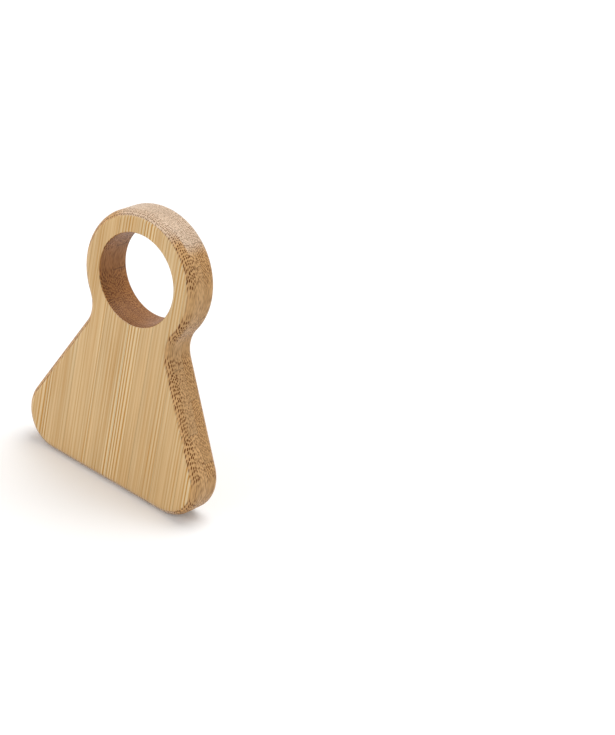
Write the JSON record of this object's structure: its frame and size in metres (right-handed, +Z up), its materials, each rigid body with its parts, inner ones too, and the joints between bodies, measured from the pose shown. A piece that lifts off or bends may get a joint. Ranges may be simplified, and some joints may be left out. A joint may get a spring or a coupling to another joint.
{
  "type": "wine bottle holder",
  "caption": "Bamboo board cut to a ring on a wide triangular foot, which slips over the neck of a lying wine bottle and props it up.",
  "frame": {"origin": "middle of the foot's underside, on the surface that the holder stands on", "axes": "+Z up through the ring, -Y out of the front face, +X to the right as the front face is seen"},
  "size_m": [0.0868, 0.015, 0.1132],
  "materials": {
    "front_bamboo": "satin clear-oiled bamboo, inner side of the culm outwards, fine straight upright grain",
    "back_bamboo": "satin clear-oiled bamboo, fine straight upright grain"
  },
  "bodies": {
    "root": {"front_lath_1": "front_bamboo", "front_lath_2_foot": "front_bamboo", "front_lath_2_ring": "front_bamboo", "front_lath_3": "front_bamboo", "front_lath_4_foot": "front_bamboo", "front_lath_4_ring": "front_bamboo", "front_lath_5_foot": "front_bamboo", "front_lath_5_ring": "front_bamboo", "front_lath_6": "front_bamboo", "front_lath_7_foot": "front_bamboo", "front_lath_7_ring": "front_bamboo", "front_lath_8": "front_bamboo", "back_lath_1": "back_bamboo", "back_lath_2": "back_bamboo", "back_lath_3": "back_bamboo", "back_lath_4_foot": "back_bamboo", "back_lath_4_ring": "back_bamboo", "back_lath_5_foot": "back_bamboo", "back_lath_5_ring": "back_bamboo", "back_lath_6_foot": "back_bamboo", "back_lath_6_ring": "back_bamboo", "back_lath_7": "back_bamboo", "back_lath_8": "back_bamboo", "back_lath_9": "back_bamboo"}
  },
  "joints": []
}
